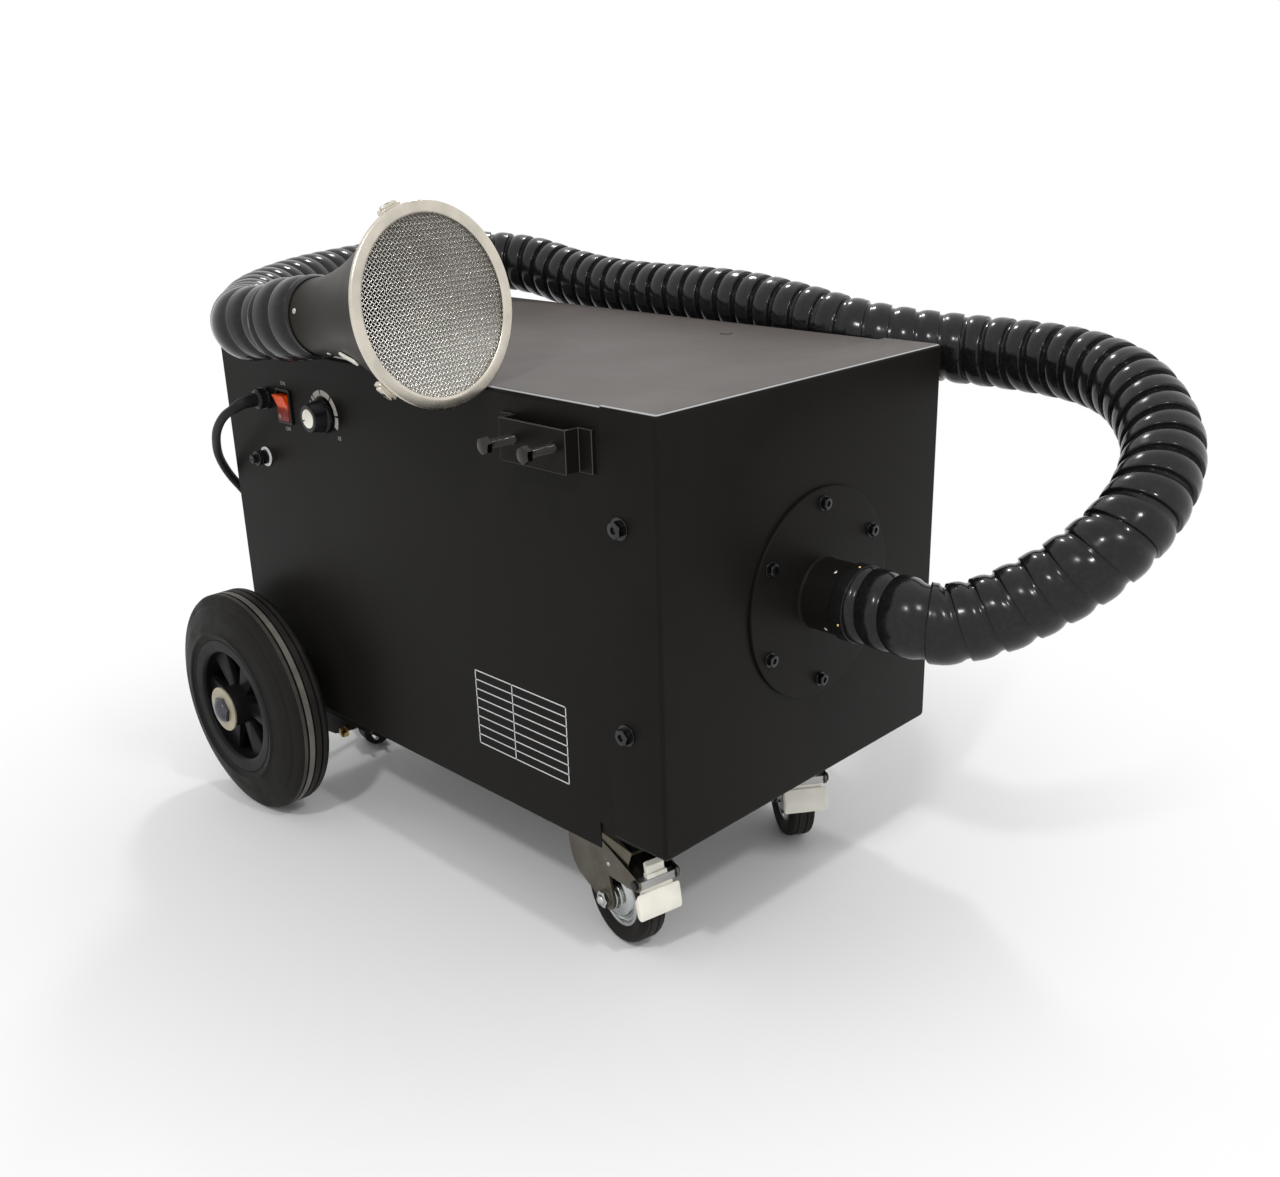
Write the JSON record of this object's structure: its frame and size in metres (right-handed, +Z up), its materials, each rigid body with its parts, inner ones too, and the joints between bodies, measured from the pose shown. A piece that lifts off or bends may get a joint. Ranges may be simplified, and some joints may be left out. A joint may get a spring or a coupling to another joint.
{
  "type": "mobile welding fume extractor",
  "caption": "Mobile fume extractor: sheet-metal cabinet on two large wheels and two braked swivel casters, with filter, blower, and a ribbed suction hose ending in a cone hood.",
  "frame": {"origin": "on the floor, under the middle of the machine's own box, without the hose and the mains cord", "axes": "+X towards the hose inlet end, +Z up, the controls face -Y"},
  "size_m": [1.0722, 0.6452, 0.6768],
  "materials": {
    "black_paint": "satin powder coat",
    "cream_paint": "satin paint",
    "hood_paint": "gloss paint",
    "stainless": "brushed",
    "zinc": "bright zinc plate",
    "black_steel": "blackened",
    "cast_metal": "cast",
    "tyre_rubber": "matte",
    "black_rubber": "satin",
    "hose_plastic": "gloss",
    "black_plastic": "fine grain",
    "white_plastic": "gloss",
    "red_plastic": "gloss",
    "filter_paper": "pleated fibre"
  },
  "bodies": {
    "root": {"cabinet_shell": "black_paint", "front_pan": "black_paint", "base_pan": "black_paint", "rear_panel": "black_paint", "inlet_flange": "black_paint", "flange_bolt_1": "black_steel", "flange_bolt_2": "black_steel", "flange_bolt_3": "black_steel", "flange_bolt_4": "black_steel", "flange_bolt_5": "black_steel", "flange_bolt_6": "black_steel", "hose_cuff": "black_steel", "cover_bolt_near_1": "black_steel", "cover_bolt_near_2": "black_steel", "cover_bolt_far_1": "black_steel", "cover_bolt_far_2": "black_steel", "clamp_bracket": "black_paint", "rocker_bezel": "black_plastic", "fuse_holder": "black_plastic", "cable_gland": "black_plastic", "rear_axle": "cast_metal", "axle_bracket_near": "black_paint", "axle_bracket_far": "black_paint", "hub_nut_near": "zinc", "hub_nut_far": "zinc", "caster_plate_near": "zinc", "caster_plate_far": "zinc", "partition": "black_paint", "filter_cartridge": "filter_paper", "fan_scroll": "zinc", "motor": "cast_metal", "hood_ring": "stainless", "hood_mesh": "stainless", "hood_cone": "hood_paint", "suction_hose": "hose_plastic", "power_cord": "black_rubber", "cord_coil": "black_rubber", "plug": "black_rubber"},
    "impeller": {"impeller": "cast_metal"},
    "rocker": {"rocker": "red_plastic"},
    "speed_knob": {"speed_knob": "black_plastic", "knob_cap": "white_plastic"},
    "fuse_cap": {"fuse_cap": "white_plastic"},
    "clamp_screw_1": {"clamp_screw_1": "black_steel"},
    "clamp_screw_2": {"clamp_screw_2": "black_steel"},
    "rear_wheel_near": {"rear_tyre_near": "tyre_rubber", "rear_rim_near": "black_plastic"},
    "caster_swivel_near": {"caster_fork_near": "zinc", "caster_axle_near": "zinc"},
    "caster_wheel_near": {"caster_tyre_near": "tyre_rubber", "caster_hub_near": "zinc"},
    "brake_near": {"brake_pedal_near": "cream_paint"},
    "rear_wheel_far": {"rear_tyre_far": "tyre_rubber", "rear_rim_far": "black_plastic"},
    "caster_swivel_far": {"caster_fork_far": "zinc", "caster_axle_far": "zinc"},
    "caster_wheel_far": {"caster_tyre_far": "tyre_rubber", "caster_hub_far": "zinc"},
    "brake_far": {"brake_pedal_far": "cream_paint"}
  },
  "joints": [
    {"name": "impeller_spin", "type": "hinge", "parent": "root", "child": "impeller", "pos_m": [-0.0472, 0.03081, 0.3272], "axis": [1, 0, 0], "continuous": true},
    {"name": "rocker_tilt", "type": "hinge", "parent": "root", "child": "rocker", "pos_m": [-0.1932, -0.17084, 0.46], "axis": [1, 0, 0], "range_deg": [-22, 0]},
    {"name": "speed_knob_turn", "type": "hinge", "parent": "root", "child": "speed_knob", "pos_m": [-0.1217, -0.17989, 0.46], "axis": [0, 1, 0], "range_deg": [0, 270]},
    {"name": "fuse_cap_turn", "type": "hinge", "parent": "root", "child": "fuse_cap", "pos_m": [-0.2432, -0.17989, 0.3995], "axis": [0, 1, 0], "range_deg": [0, 90]},
    {"name": "clamp_screw_1_travel", "type": "slide", "parent": "root", "child": "clamp_screw_1", "axis": [0, 1, 0], "range_m": [-0.005, 0.007]},
    {"name": "clamp_screw_2_travel", "type": "slide", "parent": "root", "child": "clamp_screw_2", "axis": [0, 1, 0], "range_m": [-0.005, 0.007]},
    {"name": "rear_wheel_near_roll", "type": "hinge", "parent": "root", "child": "rear_wheel_near", "pos_m": [-0.2631, -0.21414, 0.125], "axis": [0, 1, 0], "continuous": true},
    {"name": "caster_near_swivel", "type": "hinge", "parent": "root", "child": "caster_swivel_near", "pos_m": [0.1988, -0.11489, 0.12], "axis": [0, 0, 1], "continuous": true},
    {"name": "caster_near_roll", "type": "hinge", "parent": "caster_swivel_near", "child": "caster_wheel_near", "pos_m": [0.2361, -0.12214, 0.048], "axis": [0.1908, 0.9816, 0], "continuous": true},
    {"name": "brake_near_release", "type": "hinge", "parent": "caster_swivel_near", "child": "brake_near", "pos_m": [0.2842, -0.13149, 0.086], "axis": [-0.1908, -0.9816, 0], "range_deg": [0, 22]},
    {"name": "rear_wheel_far_roll", "type": "hinge", "parent": "root", "child": "rear_wheel_far", "pos_m": [-0.2631, 0.25436, 0.125], "axis": [0, 1, 0], "continuous": true},
    {"name": "caster_far_swivel", "type": "hinge", "parent": "root", "child": "caster_swivel_far", "pos_m": [0.1988, 0.15511, 0.12], "axis": [0, 0, 1], "continuous": true},
    {"name": "caster_far_roll", "type": "hinge", "parent": "caster_swivel_far", "child": "caster_wheel_far", "pos_m": [0.22954, 0.13277, 0.048], "axis": [0.5878, 0.809, 0], "continuous": true},
    {"name": "brake_far_release", "type": "hinge", "parent": "caster_swivel_far", "child": "brake_far", "pos_m": [0.26918, 0.10397, 0.086], "axis": [-0.5878, -0.809, 0], "range_deg": [0, 22]}
  ]
}
